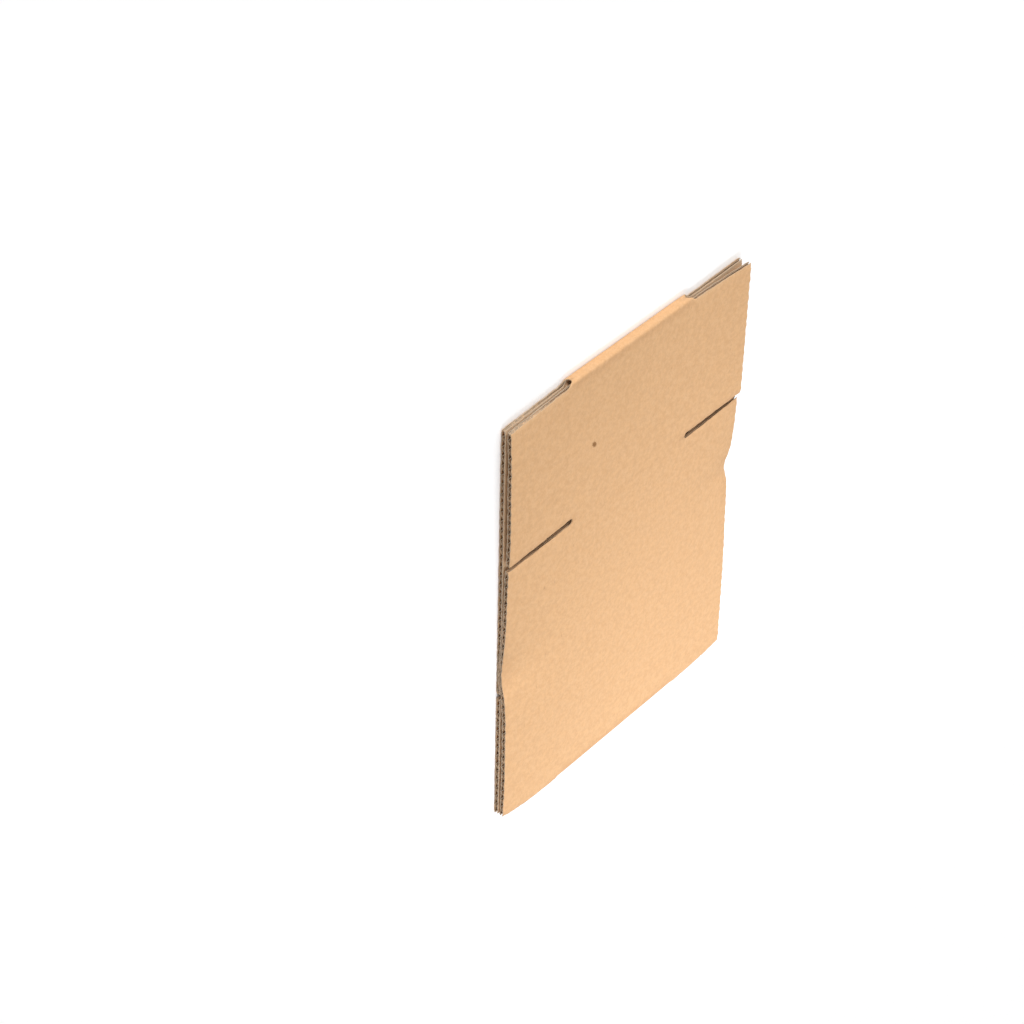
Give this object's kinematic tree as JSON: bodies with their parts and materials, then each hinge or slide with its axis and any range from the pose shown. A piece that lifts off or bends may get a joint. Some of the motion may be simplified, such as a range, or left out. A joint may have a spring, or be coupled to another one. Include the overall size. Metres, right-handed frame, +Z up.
{
  "type": "flattened cardboard box",
  "caption": "Plain kraft slotted shipping box knocked down flat: corrugated sheet folded at two corners and glued at one, with slotted flaps in line with the panels.",
  "frame": {"origin": "middle of the box's footprint, on the surface that it lies on", "axes": "+Z up out of the plain face, +X along the flutes towards one row of raw flap edges, +Y towards the fold beside the short upper panel"},
  "size_m": [0.21, 0.285, 0.0096],
  "materials": {
    "kraft_board": "matte"
  },
  "bodies": {
    "root": {"flattened_box": "kraft_board"}
  },
  "joints": []
}
